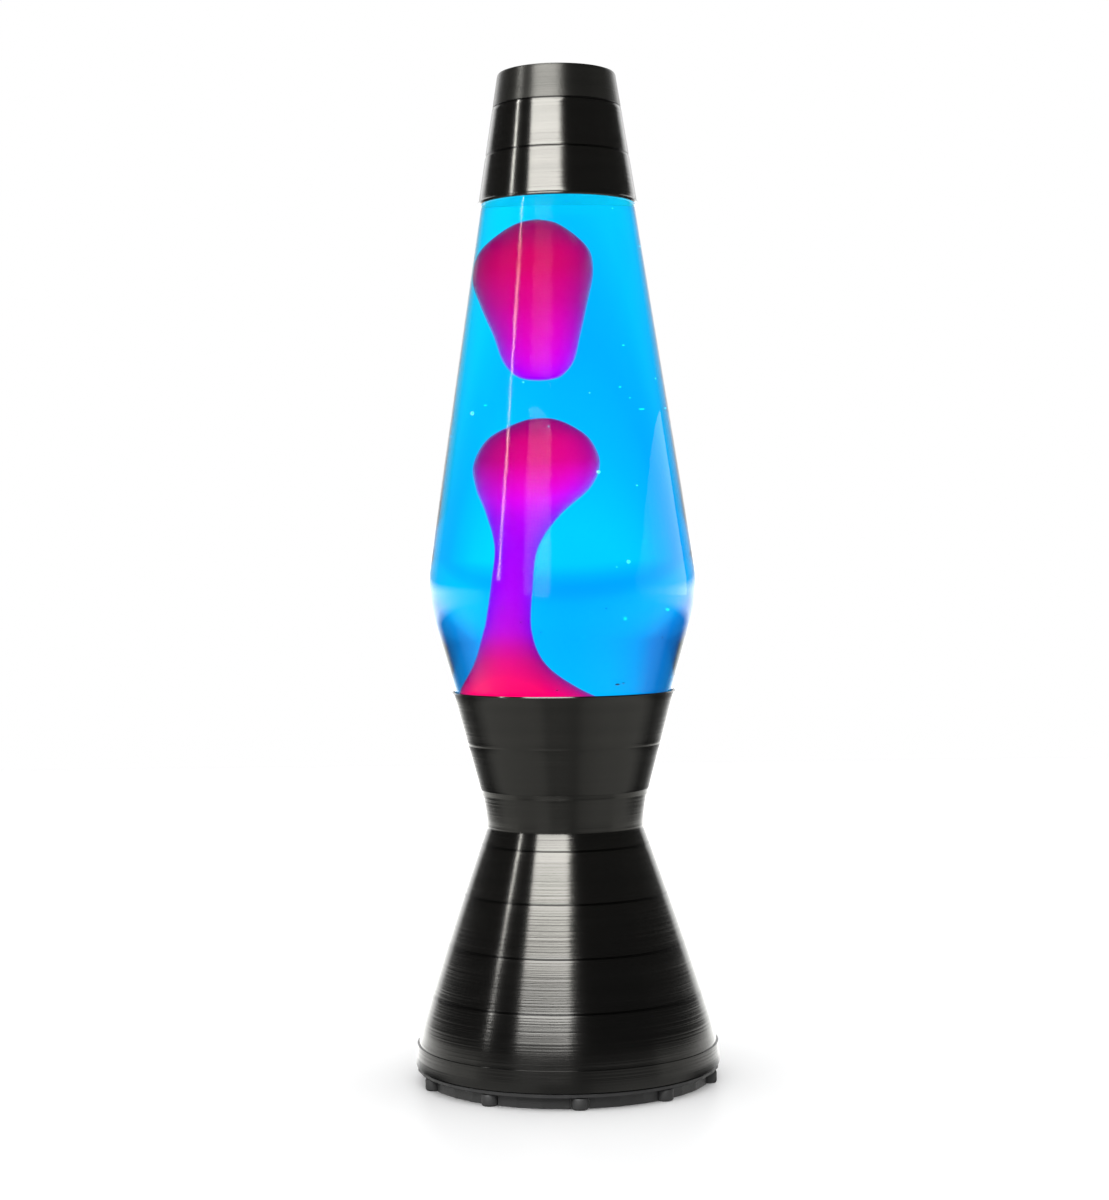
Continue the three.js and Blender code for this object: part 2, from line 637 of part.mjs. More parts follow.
add(bottle, 'heating_coil', heatingCoil(), zincSteel);
add(bottle, 'wax_pool', waxPool(), pinkWax);
add(bottle, 'wax_neck', stacked(neckRings(0)), pinkWax);
add(bottle, 'wax_head', stacked(headRings(0)), pinkWax);
add(bottle, 'wax_blob', stacked(blobRings(0)), pinkWax);
add(bottle, 'liquid', liquid(), cyanLiquid);

// ---------------------------------------------------------------- cap

function topCap() {
  const { low, r, topR, bead } = CAP;
  const top = HEIGHT;
  return turned([
    [0, top - METAL], [topR - METAL, top - METAL], [r - METAL, low], [r, low],
    [r + bead, low + 0.7], [r - 0.2, low + 1.6], [topR + 0.2, top - 1], [topR - 0.5, top],
    [0, top],
  ]);
}

add(lamp, 'top_cap', topCap(), anodised);

export default lamp;
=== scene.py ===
"""The looks of a lava lamp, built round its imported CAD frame. Everything is in metres, +Z up, front -Y."""
import json
import math
import random

import bmesh
import bpy
import numpy as np
from mathutils import Matrix, Vector

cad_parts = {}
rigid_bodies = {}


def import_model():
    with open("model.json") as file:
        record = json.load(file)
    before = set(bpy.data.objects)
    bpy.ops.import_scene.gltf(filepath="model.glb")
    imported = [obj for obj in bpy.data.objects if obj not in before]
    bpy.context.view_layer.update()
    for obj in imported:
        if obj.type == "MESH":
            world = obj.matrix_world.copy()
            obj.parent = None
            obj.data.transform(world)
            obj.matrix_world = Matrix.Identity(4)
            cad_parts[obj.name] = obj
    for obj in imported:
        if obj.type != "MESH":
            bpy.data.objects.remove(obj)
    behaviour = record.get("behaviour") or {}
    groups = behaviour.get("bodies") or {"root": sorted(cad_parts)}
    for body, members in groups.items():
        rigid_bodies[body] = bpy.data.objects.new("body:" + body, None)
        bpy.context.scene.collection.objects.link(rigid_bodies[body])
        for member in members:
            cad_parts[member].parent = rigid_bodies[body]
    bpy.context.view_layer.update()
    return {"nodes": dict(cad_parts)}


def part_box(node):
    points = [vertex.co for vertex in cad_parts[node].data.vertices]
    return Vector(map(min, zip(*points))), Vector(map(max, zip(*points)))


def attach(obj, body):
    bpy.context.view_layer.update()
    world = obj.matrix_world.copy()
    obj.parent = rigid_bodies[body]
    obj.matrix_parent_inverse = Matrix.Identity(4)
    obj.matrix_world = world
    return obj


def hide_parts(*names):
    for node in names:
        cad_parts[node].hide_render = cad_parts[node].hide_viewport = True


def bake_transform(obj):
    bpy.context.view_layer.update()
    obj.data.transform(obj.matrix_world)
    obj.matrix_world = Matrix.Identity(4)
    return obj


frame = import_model()
nodes = frame["nodes"]

MM = 0.001
FINE = 160           # facets round a large turned piece
GLASS_WALL = 2.8     # millimetres, across the axis
METAL_WALL = 1.0

# ------------------------------------------------------------------ sizes from the frame, in mm


def low_high(node):
    """The lowest and highest corners of a CAD node, in millimetres."""
    low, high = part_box(node)
    return [c / MM for c in low], [c / MM for c in high]


shell_low, shell_high = low_high("base_shell")
cap_low, cap_high = low_high("top_cap")
bottle_low, bottle_high = low_high("bottle_glass")
liquid_top = low_high("liquid")[1][2]
RIM_Z = shell_high[2]
BAND_LOW = shell_low[2]
BAND_R = shell_high[0]
CAP_LOW, CAP_TOP = cap_low[2], cap_high[2]
BOTTLE_LOW, MOUTH_Z = bottle_low[2], bottle_high[2]
BAND_HIGH = BAND_LOW + 9.1
WAIST_R, WAIST_Z = 33.9, BAND_LOW + 101.7
STEP_R, STEP_Z = 36.2, BAND_LOW + 116.5
RING_PITCH = 20.9                         # from the step up to the ring above it
CONE_RINGS = (37.6, 58.9, 80.2, 101.3)    # heights of the turned rings on the cone
CAP_RINGS = (394.7, 415.2)                # and on the cap


# ------------------------------------------------------------------ mesh helpers

def new_object(name, verts, faces, material, sharp_deg=40):
    """A smooth-shaded mesh object with sharp edges above an angle."""
    mesh = bpy.data.meshes.new(name)
    mesh.from_pydata([tuple(v) for v in verts], [], faces)
    mesh.validate()
    mesh.shade_smooth()
    mesh.set_sharp_from_angle(angle=math.radians(sharp_deg))
    mesh.materials.append(material)
    obj = bpy.data.objects.new(name, mesh)
    bpy.context.scene.collection.objects.link(obj)
    return obj


def turned_mesh(profile, facets=FINE, radius_at=None):
    """Vertices and faces of a turned solid from (radius, height) points in mm, outer walls upwards.

    radius_at(r, z, turn) may change a radius by its angle, as on a fluted edge.
    """
    verts, rows, faces = [], [], []
    for r, z in profile:
        if r < 1e-6:
            rows.append([len(verts)] * facets)
            verts.append((0, 0, z * MM))
            continue
        first = len(verts)
        for i in range(facets):
            turn = 2 * math.pi * i / facets
            radius = radius_at(r, z, turn) if radius_at else r
            verts.append((radius * math.cos(turn) * MM, radius * math.sin(turn) * MM, z * MM))
        rows.append(list(range(first, first + facets)))
    if profile[0][0] > 1e-6:
        rows.append(rows[0])
    for low, high in zip(rows, rows[1:]):
        for i in range(facets):
            j = (i + 1) % facets
            corners = list(dict.fromkeys((low[i], low[j], high[j], high[i])))
            if len(corners) > 2:
                faces.append(corners)
    return verts, faces


def turned(name, profile, material, facets=FINE, radius_at=None, sharp_deg=40):
    """An object turned from a profile, as turned_mesh() takes it."""
    verts, faces = turned_mesh(profile, facets, radius_at)
    return new_object(name, verts, faces, material, sharp_deg)


def bow(start, control, end, steps):
    """Points of a quadratic curve after its start."""
    points = []
    for i in range(1, steps + 1):
        t = i / steps
        points.append(tuple(
            (1 - t) ** 2 * a + 2 * t * (1 - t) * b + t * t * c
            for a, b, c in zip(start, control, end)
        ))
    return points


def straight(start, end, steps):
    """Evenly spaced points of a straight line, both ends included."""
    return [tuple(np.array(start) + (np.array(end) - start) * i / steps) for i in range(steps + 1)]


def scalloped(curve, rings, depth=0.17, run=4.5, step=1.2):
    """The (r, z) curve sampled upwards, drawn in below each ring height and stepping out above it."""
    zs = [z for _, z in curve]
    rs = [r for r, _ in curve]
    marks = {z: 0.0 for z in [*np.arange(zs[0], zs[-1], step), zs[-1]]
             if all(not ring - run < z < ring + 0.8 for ring in rings)}
    parts = 6
    for ring in rings:
        for k in range(parts + 1):
            marks[ring - run * (1 - k / parts)] = -depth * (k / parts) ** 2
        marks.update({ring + 0.15: 0.05, ring + 0.7: 0.0})
    return [(float(np.interp(z, zs, rs)) + marks[z], z) for z in sorted(marks)]


def with_rings(curve, rings, depth=0.3, half=0.8, step=1.4):
    """The (r, z) curve sampled evenly upwards, with a shallow turned groove at each ring height."""
    zs = [z for _, z in curve]
    rs = [r for r, _ in curve]
    heights = list(np.arange(zs[0], zs[-1], step)) + [zs[-1]]
    heights = [z for z in heights if all(abs(z - ring) > half * 1.3 for ring in rings)]
    marks = {z: 0.0 for z in heights}
    for ring in rings:
        marks.update({ring - half: 0.0, ring - half / 3: -depth, ring + half / 4: -depth,
                      ring + half * 0.6: 0.08, ring + half: 0.0})
    return [(float(np.interp(z, zs, rs)) + marks[z], z) for z in sorted(marks)]


# ------------------------------------------------------------------ node helpers

def new_material(name, **sockets):
    """A material with a Principled shader whose uniform values sit on its own sockets."""
    mat = bpy.data.materials.new(name)
    mat.use_nodes = True
    shader = mat.node_tree.nodes["Principled BSDF"]
    for label, value in sockets.items():
        socket = shader.inputs[label.replace("_", " ")]
        socket.default_value = (*value, 1) if isinstance(value, tuple) and len(value) == 3 else value
    return mat, mat.node_tree, shader


def place(tree, kind, **inputs):
    """A new node with its inputs set by name."""
    node = tree.nodes.new(kind)
    for label, value in inputs.items():
        node.inputs[label.replace("_", " ")].default_value = value
    return node


def coordinates(tree, scale=(1, 1, 1)):
    """Object coordinates in millimetres, stretched by scale."""
    where = tree.nodes.new("ShaderNodeTexCoord")
    mapping = place(tree, "ShaderNodeMapping", Scale=[s / MM for s in scale])
    tree.links.new(where.outputs["Object"], mapping.inputs["Vector"])
    return mapping.outputs["Vector"]


def noise(tree, vector, scale, detail=3.0, roughness=0.5):
    node = place(tree, "ShaderNodeTexNoise", Scale=scale, Detail=detail, Roughness=roughness)
    tree.links.new(vector, node.inputs["Vector"])
    return node.outputs["Fac"]


def grey(value):
    return (value, value, value)


def ramp(tree, factor, stops):
    """A colour ramp from (position, colour) stops."""
    node = tree.nodes.new("ShaderNodeValToRGB")
    elements = node.color_ramp.elements
    while len(elements) < len(stops):
        elements.new(0.5)
    for element, (position, colour) in zip(elements, stops):
        element.position = position
        element.color = (*colour, 1)
    tree.links.new(factor, node.inputs["Fac"])
    return node.outputs["Color"]


def combine(tree, operation, *values):
    """A math node on sockets or numbers."""
    node = tree.nodes.new("ShaderNodeMath")
    node.operation = operation
    for socket, value in zip(node.inputs, values):
        if isinstance(value, (int, float)):
            socket.default_value = value
        else:
            tree.links.new(value, socket)
    return node.outputs["Value"]


def mix_colours(tree, first, second, blend="MULTIPLY"):
    node = tree.nodes.new("ShaderNodeMix")
    node.data_type = "RGBA"
    node.blend_type = blend
    node.inputs["Factor"].default_value = 1.0
    tree.links.new(first, node.inputs["A"])
    tree.links.new(second, node.inputs["B"])
    return node.outputs["Result"]


def remap(tree, value, from_low, from_high, to_low, to_high):
    node = place(tree, "ShaderNodeMapRange")
    for label, number in (("From Min", from_low), ("From Max", from_high),
                          ("To Min", to_low), ("To Max", to_high)):
        node.inputs[label].default_value = number
    tree.links.new(value, node.inputs["Value"])
    return node.outputs["Result"]


def bump(tree, shader, height, distance, strength=1.0, first=None):
    """Adds height in metres times distance to the shader's normal."""
    node = place(tree, "ShaderNodeBump", Distance=distance, Strength=strength)
    tree.links.new(height, node.inputs["Height"])
    if first is not None:
        tree.links.new(first, node.inputs["Normal"])
    tree.links.new(node.outputs["Normal"], shader.inputs["Normal"])
    return node.outputs["Normal"]


# ------------------------------------------------------------------ materials

GROOVE_RISE, GROOVE_HALF = 0.15, 0.45     # a ring's groove of painted shade: its middle above the ring, half width
GROOVE_SHADE = 0.28
PAINTED_SHADE_SPAN = 0.2                            # metres of height over which the painted shade changes
SATIN_FADE = 0.4                          # above the cap's upper ring the metal turns satin


def anodised_metal():
    """Black anodised spun aluminium with turned lines round the axis."""
    mat, tree, shader = new_material("anodised_black", Metallic=0.88, Anisotropic=0.88,
                                      Anisotropic_Rotation=0.25)
    lines_at = coordinates(tree, (0.002, 0.002, 1))
    fine = noise(tree, lines_at, 1.0, 2.0, 0.6)
    coarse = noise(tree, lines_at, 0.16, 3.0, 0.5)
    wear_at = coordinates(tree, (0.05, 0.05, 0.35))
    wear = noise(tree, wear_at, 1.0, 5.0, 0.6)
    where = tree.nodes.new("ShaderNodeTexCoord")
    split = tree.nodes.new("ShaderNodeSeparateXYZ")
    tree.links.new(where.outputs["Object"], split.inputs["Vector"])
    height = split.outputs["Z"]
    black = ramp(tree, coarse, [
        (0.3, (0.034, 0.0335, 0.0305)), (0.7, (0.041, 0.040, 0.0365)),
    ])
    # painted shade: the base colour is darkened in each ring's groove, where its shadow falls
    for ring in (*CONE_RINGS, *CAP_RINGS):
        groove = combine(tree, "COMPARE", height, (ring + GROOVE_RISE) * MM, GROOVE_HALF * MM)
        groove_painted_shade = ramp(tree, groove, [(0.0, grey(1.0)), (1.0, grey(GROOVE_SHADE))])
        black = mix_colours(tree, black, groove_painted_shade)
    # painted shade by height: darker towards the foot and across the funnel, standing in for the dimmer
    # highlights there
    darkening = ramp(tree, remap(tree, height, 0.0, PAINTED_SHADE_SPAN, 0.0, 1.0), [
        (0.1, (0.68, 0.68, 0.7)), (0.3, (0.76, 0.76, 0.77)), (0.5, grey(0.97)),
        (0.55, grey(0.8)), (0.8, grey(0.88)), (1.0, grey(1.0)),
    ])
    tree.links.new(mix_colours(tree, black, darkening), shader.inputs["Base Color"])
    satin_low = CAP_RINGS[-1]
    satin = remap(tree, height, satin_low * MM, (satin_low + SATIN_FADE) * MM, 0.0, 0.21)
    polish = remap(tree, wear, 0.25, 0.75, 0.185, 0.225)
    tree.links.new(combine(tree, "ADD", polish, satin), shader.inputs["Roughness"])
    tangent = tree.nodes.new("ShaderNodeTangent")
    tangent.direction_type = "RADIAL"
    tangent.axis = "Z"
    tree.links.new(tangent.outputs["Tangent"], shader.inputs["Tangent"])
    first = bump(tree, shader, coarse, 0.0002, 0.5)
    bump(tree, shader, fine, 0.00012, 1.0, first)
    return mat


def moulded_plastic(name, colour, rough=0.5, grain=1.2):
    """Matt plastic or rubber with faint patches and a fine grain."""
    mat, tree, shader = new_material(name)
    at = coordinates(tree)
    grains = noise(tree, at, grain, 4.0, 0.6)
    patches = noise(tree, at, 0.08, 3.0, 0.5)
    darker = tuple(c * 0.75 for c in colour)
    lighter = tuple(min(c * 1.2, 1) for c in colour)
    tree.links.new(ramp(tree, patches, [(0.3, darker), (0.7, lighter)]), shader.inputs["Base Color"])
    tree.links.new(remap(tree, grains, 0.3, 0.7, rough - 0.08, rough + 0.1), shader.inputs["Roughness"])
    bump(tree, shader, grains, 0.0001, 0.4)
    return mat


def plated_metal(name, colour, rough=0.3, lit=0.0):
    """Bare or plated metal with tarnish and scuffs; lit is the strength of a painted glow that stands in for
    light reaching the metal.
    """
    mat, tree, shader = new_material(
        name, Metallic=1.0, Emission_Color=(0.86, 0.9, 1.0), Emission_Strength=lit,
    )
    at = coordinates(tree)
    tarnish = noise(tree, at, 0.12, 5.0, 0.6)
    scuffs = noise(tree, coordinates(tree, (1, 0.1, 0.1)), 2.0, 4.0, 0.7)
    darker = tuple(c * 0.7 for c in colour)
    tree.links.new(ramp(tree, tarnish, [(0.3, darker), (0.65, colour)]), shader.inputs["Base Color"])
    tree.links.new(remap(tree, scuffs, 0.3, 0.7, rough - 0.08, rough + 0.12), shader.inputs["Roughness"])
    bump(tree, shader, scuffs, 0.00005, 0.5)
    return mat


def fired_ceramic():
    mat, tree, shader = new_material("fired_ceramic")
    at = coordinates(tree)
    specks = noise(tree, at, 1.6, 6.0, 0.7)
    tree.links.new(ramp(tree, specks, [
        (0.35, (0.68, 0.62, 0.5)), (0.5, (0.85, 0.81, 0.72)), (0.8, (0.9, 0.87, 0.8)),
    ]), shader.inputs["Base Color"])
    tree.links.new(remap(tree, specks, 0.3, 0.7, 0.4, 0.65), shader.inputs["Roughness"])
    bump(tree, shader, specks, 0.00008, 0.5)
    return mat


def clear_glass():
    """The bottle: clear soda glass with faint waviness."""
    mat, tree, shader = new_material(
        "bottle_clear_glass", Base_Color=(0.985, 0.995, 1.0), Roughness=0.0, IOR=1.5,
        Transmission_Weight=1.0, Specular_Tint=grey(0.06),
    )
    waves = noise(tree, coordinates(tree, (1, 1, 0.3)), 0.05, 2.0, 0.4)
    bump(tree, shader, waves, 0.0002, 0.25)
    return mat


def lens_glass():
    mat, tree, shader = new_material(
        "bulb_lens_glass", Base_Color=(0.97, 0.98, 0.97), Roughness=0.03, IOR=1.5,
        Transmission_Weight=1.0,
    )
    ripples = noise(tree, coordinates(tree), 0.3, 2.0, 0.4)
    bump(tree, shader, ripples, 0.0002, 0.3)
    return mat


LIQUID_TINT = (0.0, 0.86, 1.0)
LIQUID_DENSITY = 40


def blue_liquid():
    """Clear liquid whose blue dye takes out red over a few centimetres."""
    mat, tree, shader = new_material(
        "blue_liquid", Base_Color=(0.03, 1.0, 1.0), Roughness=0.0, IOR=1.36,
        Transmission_Weight=1.0, Specular_Tint=grey(0.06),
    )
    haze = noise(tree, coordinates(tree, (1, 1, 0.4)), 0.03, 3.0, 0.5)
    bump(tree, shader, haze, 0.0003, 0.15)
    darkening = place(tree, "ShaderNodeVolumeAbsorption", Color=(*LIQUID_TINT, 1), Density=LIQUID_DENSITY)
    tree.links.new(darkening.outputs["Volume"], tree.nodes["Material Output"].inputs["Volume"])
    return mat


# the wax's emission strength: a painted glow, since the wax is no lamp
WAX_PAINTED_GLOW = 52.0
WAX_FOOT, WAX_HEAD = 110, 370    # heights between which the painted glow's colours are laid out
REST_PLACE = "rest_place"     # each wax vertex's place at rest, so its colour moves with it


def glowing_wax():
    """Opaque wax with a painted glow standing in for the bulb's light from below: crimson where it is thick,
    magenta and violet where thin.
    """
    mat, tree, shader = new_material(
        "glowing_wax", Base_Color=(0.5, 0.0, 0.02), Roughness=0.12, IOR=1.13,
        Specular_Tint=(0.3, 0.05, 0.3),
        Coat_Weight=1.0, Coat_Roughness=0.06, Coat_IOR=1.06, Coat_Tint=(0.5, 1.0, 1.0),
        Sheen_Weight=0.2, Sheen_Roughness=0.22, Sheen_Tint=(0.1, 0.0, 1.0),
    )
    rest_place = tree.nodes.new("ShaderNodeAttribute")
    rest_place.attribute_name = REST_PLACE
    split = tree.nodes.new("ShaderNodeSeparateXYZ")
    tree.links.new(rest_place.outputs["Vector"], split.inputs["Vector"])
    stretched = place(tree, "ShaderNodeMapping", Scale=(1 / MM, 1 / MM, 0.4 / MM))
    tree.links.new(rest_place.outputs["Vector"], stretched.inputs["Vector"])
    height = remap(tree, split.outputs["Z"], WAX_FOOT * MM, WAX_HEAD * MM, 0.0, 1.0)

    def z_share(z):
        return (z - WAX_FOOT) / (WAX_HEAD - WAX_FOOT)

    # painted glow by height, standing in for the bulb's light from below
    glow = ramp(tree, height, [
        (z_share(z), (r / WAX_PAINTED_GLOW, 0.0, b / WAX_PAINTED_GLOW)) for z, r, b in (
            (110, 50, 0.14), (166, 50, 0.16), (175, 48, 0.18), (183, 46, 0.24), (189, 43, 0.42),
            (196, 40, 0.8), (208, 37, 1.05), (226, 30, 1.05), (238, 32, 1.0), (246, 42, 0.95),
            (254, 35, 0.6), (263, 29, 0.25), (282, 33, 0.14), (296, 31, 1.1), (304, 30, 0.85),
            (316, 27, 0.55), (330, 20, 0.28), (345, 15.5, 0.14), (368, 15, 0.11),
        )
    ])
    swirl = noise(tree, stretched.outputs["Vector"], 0.05, 4.0, 0.55)
    cloud = ramp(tree, swirl, [(0.3, (0.9, 0.9, 0.85)), (0.7, grey(1.0))])
    # painted light from the right: the glow is dimmer on the left and brighter on the right
    across = ramp(tree, remap(tree, split.outputs["X"], -0.04, 0.04, 0.0, 1.0), [
        (0.1, (0.7, 0.7, 1.0)), (0.25, (0.85, 0.85, 1.0)), (0.4, grey(1.0)),
        (0.6, (1.25, 1.25, 1.3)), (0.75, (2.0, 2.0, 2.2)), (0.9, (3.0, 3.0, 4.0)),
    ])
    tint = mix_colours(tree, glow, mix_colours(tree, cloud, across))
    tree.links.new(tint, shader.inputs["Emission Color"])
    shader.inputs["Emission Strength"].default_value = WAX_PAINTED_GLOW
    mat.cycles.emission_sampling = "NONE"
    bump(tree, shader, swirl, 0.0004, 0.2)
    return mat


def bubble_air():
    # the faint emission is a painted glow that makes the bubbles read as light dots
    mat, tree, shader = new_material(
        "bubble_air", Base_Color=(0.8, 0.95, 1.0), Roughness=0.02, IOR=0.88,
        Transmission_Weight=1.0, Emission_Color=(0.3, 0.9, 1.0), Emission_Strength=0.5,
    )
    skin = noise(tree, coordinates(tree), 2.0, 2.0, 0.5)
    bump(tree, shader, skin, 0.00005, 0.3)
    return mat


def mirror_coat():
    """Faceted coated reflector of the bulb."""
    mat, tree, shader = new_material("bulb_mirror_coat", Metallic=1.0, Roughness=0.12)
    cells = place(tree, "ShaderNodeTexVoronoi", Scale=0.35)
    tree.links.new(coordinates(tree), cells.inputs["Vector"])
    tree.links.new(ramp(tree, cells.outputs["Distance"], [
        (0.0, (0.9, 0.88, 0.84)), (1.0, (0.7, 0.7, 0.74)),
    ]), shader.inputs["Base Color"])
    bump(tree, shader, cells.outputs["Distance"], 0.0004, 0.4)
    return mat


metal = anodised_metal()
plate_plastic = moulded_plastic("plate_plastic", (0.012, 0.012, 0.0125), 0.5)
rubber = moulded_plastic("feet_rubber", (0.014, 0.014, 0.0145), 0.62, 0.8)
block_plastic = moulded_plastic("block_plastic", (0.8, 0.8, 0.78), 0.4)
steel = plated_metal("zinc_steel", (0.62, 0.62, 0.6), 0.32)
brass = plated_metal("contact_brass", (0.75, 0.55, 0.25), 0.3)
tin = plated_metal("crown_tin", (0.66, 0.5, 0.24), 0.25)
ceramic = fired_ceramic()
liner = moulded_plastic("liner_rubber", (0.6, 0.58, 0.52), 0.7)
bottle_glass = clear_glass()
lens = lens_glass()
liquid_blue = blue_liquid()
wax = glowing_wax()
air = bubble_air()
mirror = mirror_coat()
crumb_wax = moulded_plastic("crumb_wax", (0.01, 0.02, 0.16), 0.5)
# the cap's inside: its glow is painted light standing in for the lamp's light bouncing inside the cap
raw_metal = plated_metal("raw_aluminium", grey(0.7), 0.35, 0.62)
GLASSY = (bottle_glass, liquid_blue, wax, air, crumb_wax)    # lit by the bottle's own lamps

CAD_LOOKS = {
    "base_plate": plate_plastic, "cord_clamp": plate_plastic, "cable_grommet": rubber,
    "lamp_bracket": steel, "lampholder_body": ceramic, "terminal_block": block_plastic,
    "bulb_base": ceramic, "earth_tag": brass, "bulb_capsule": lens, "crown_liner": liner,
    "live_lead": moulded_plastic("live_insulation", (0.16, 0.06, 0.02), 0.4),
    "neutral_lead": moulded_plastic("neutral_insulation", (0.03, 0.12, 0.42), 0.4),
    "earth_lead": moulded_plastic("earth_insulation", (0.12, 0.3, 0.04), 0.4),
}
for name, node in nodes.items():
    look = CAD_LOOKS.get(name)
    if look is None and ("screw" in name or "pin" in name):
        look = brass if name.startswith("terminal") else steel
    if look is None and name.startswith("contact"):
        look = brass
    if look is not None:
        node.data.materials.clear()
        node.data.materials.append(look)
        soften = node.modifiers.new("soft_edges", "BEVEL")
        soften.width = 0.15 * MM
        soften.segments = 2
        soften.limit_method = "ANGLE"


# ------------------------------------------------------------------ base shell and cap

def base_shell():
    facets = 192
    hem_r, hem_thick = 61.8, 1.2
    cone_foot, cone_knee = (BAND_R - 1.5, BAND_HIGH + 0.3), (61.2, 28.8)
    waist, step = (WAIST_R, WAIST_Z), (STEP_R, STEP_Z)
    cone_bow = ((cone_knee[0] + waist[0]) / 2 + 1.1, (cone_knee[1] + waist[1]) / 2)
    cone = [cone_foot, *bow(cone_foot, (63.4, 22), cone_knee, 10),
            *bow(cone_knee, cone_bow, (waist[0] + 0.1, waist[1] - 0.5), 40)]
    funnel = [(waist[0] + 0.1, waist[1] + 0.6),
              *bow((waist[0] + 0.1, waist[1] + 0.6), (WAIST_R, WAIST_Z + 4),
                   (STEP_R - 0.6, STEP_Z - 1.0), 10)]
    mouth = (47.75, RIM_Z - 1.2)
    slope = (mouth[0] - STEP_R) / (mouth[1] - STEP_Z)
    upper_ring = STEP_Z + RING_PITCH
    ring_r = STEP_R + slope * RING_PITCH
    outer = [
        *scalloped(cone, CONE_RINGS),
        (WAIST_R, WAIST_Z),
        *with_rings(funnel, []),
        (STEP_R, STEP_Z - 1.1), (STEP_R + 0.03, STEP_Z + 1.0), (STEP_R + 0.3, STEP_Z + 1.4),
        *straight((STEP_R + slope * 2, STEP_Z + 2), (ring_r - slope, upper_ring - 1), 8),
        (ring_r, upper_ring - 0.6), (ring_r + 0.04, upper_ring + 0.6),
        (ring_r + slope, upper_ring + 1),
        *straight((ring_r + slope * 2, upper_ring + 2), mouth, 8),
    ]
    band = [
        (BAND_R - 0.6, BAND_LOW), (BAND_R - 0.15, BAND_LOW + 0.2), (BAND_R, BAND_LOW + 0.6),
        (BAND_R - 0.35, BAND_HIGH - 4.4), (BAND_R - 0.68, BAND_HIGH - 0.05),
        (BAND_R - 1.45, BAND_HIGH),
    ]
    lip = [(48.0, RIM_Z - 0.9), (48.1, RIM_Z - 0.5), (47.9, RIM_Z - 0.12), (47.6, RIM_Z),
           (47.3, RIM_Z - 0.1)]
    inner = [(r - METAL_WALL, z) for r, z in outer[::-2]]
    hem = [(BAND_R - 1.7, BAND_HIGH - 0.4), (BAND_R - 1.2, BAND_LOW + hem_thick),
           (hem_r, BAND_LOW + hem_thick), (hem_r, BAND_LOW)]
    piece = turned("spun_base", [*band, *outer, *lip, *inner, *hem], metal, facets, sharp_deg=30)
    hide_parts("base_shell")
    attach(piece, "base")


def top_cap():
    edge_r, top_r = 34.0, 25.2
    side = [(edge_r - 0.2, CAP_LOW + 1.7), (top_r + 0.2, CAP_TOP - 1.3)]
    outer = [
        (edge_r - 0.6, CAP_LOW), (edge_r, CAP_LOW + 0.05), (edge_r + 0.28, CAP_LOW + 0.5),
        (edge_r + 0.25, CAP_LOW + 1.0), (edge_r - 0.05, CAP_LOW + 1.4),
        *with_rings(side, CAP_RINGS, depth=0.14, half=0.45),
        (top_r, CAP_TOP - 0.7), (top_r - 0.35, CAP_TOP - 0.2), (top_r - 0.9, CAP_TOP), (0, CAP_TOP),
    ]
    roof = CAP_TOP - METAL_WALL
    inner = [(0, roof), (top_r - 1.6, roof), (top_r - METAL_WALL, roof - 0.8),
             (edge_r - METAL_WALL, CAP_LOW + 0.3)]
    piece = turned("spun_cap", [*inner, *outer], metal, FINE, sharp_deg=30)
    # the inside faces take the raw aluminium with its painted glow
    piece.data.materials.append(raw_metal)
    for face in piece.data.polygons:
        if face.index < FINE * len(inner):
            face.material_index = 1
    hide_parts("top_cap")
    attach(piece, "cap")


base_shell()
top_cap()


# ------------------------------------------------------------------ feet

FOOT_RING, STEM_RING, FOOT_R, FIRST_FOOT = 61.2, 59.2, 3.6, 4.3


def feet():
    """Rubber pads whose barbed stems are pushed up through the base plate."""
    names = sorted(n for n in nodes if n.startswith("foot_"))
    pad = [
        (0, 0.12), (FOOT_R - 1.3, 0.12), (FOOT_R - 1.0, 0), (FOOT_R - 0.6, 0.05),
        (FOOT_R - 0.15, 0.4), (FOOT_R, 0.9), (FOOT_R, 4.3), (FOOT_R - 0.2, 4.8), (0, 4.8),
    ]
    stem = [(0, 3.8), (1.4, 3.8), (1.4, 7.0), (1.9, 7.05), (1.8, 7.5), (1.2, 8.35), (0, 8.4)]
    for i, name in enumerate(names):
        turn = Matrix.Rotation(math.radians(FIRST_FOOT + 360 * i / len(names)), 4, "Z")
        verts, faces = [], []
        for profile, ring in ((pad, FOOT_RING), (stem, STEM_RING)):
            points, loops = turned_mesh(profile, 40)
            faces += [[len(verts) + k for k in loop] for loop in loops]
            verts += [turn @ (Vector(p) + Vector((0, -ring * MM, 0))) for p in points]
        piece = new_object(f"rubber_{name}", verts, faces, rubber)
        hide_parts(name)
        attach(piece, "base")


feet()


# ------------------------------------------------------------------ bottle

LOWER_TAPER, UPPER_TAPER, BEND = 0.303, 0.1556, 50
AT_RIM, AT_CAP_EDGE = 46.75, 32.75
SHOULDER, NECK_FOOT, NECK_R, BORE = 384, 397, 13.4, 8.6


def lower_wall(z):
    return AT_RIM + LOWER_TAPER * (z - RIM_Z)


def upper_wall(z):
    return AT_CAP_EDGE + UPPER_TAPER * (CAP_LOW - z)


def bottle_bend(inset, steps=24):
    """The arc between the bottle's two tapers, moved in by inset."""
    low, high = math.atan(LOWER_TAPER), -math.atan(UPPER_TAPER)
    meet = (upper_wall(0) - lower_wall(0)) / (LOWER_TAPER + UPPER_TAPER)
    start = meet - BEND * math.tan((low - high) / 2) * math.cos(low)
    centre = (lower_wall(start) - BEND * math.cos(low), start + BEND * math.sin(low))
    return [
        (centre[0] + BEND * math.cos(turn) - inset, centre[1] + BEND * math.sin(turn))
        for turn in np.linspace(-low, -high, steps + 1)
    ]


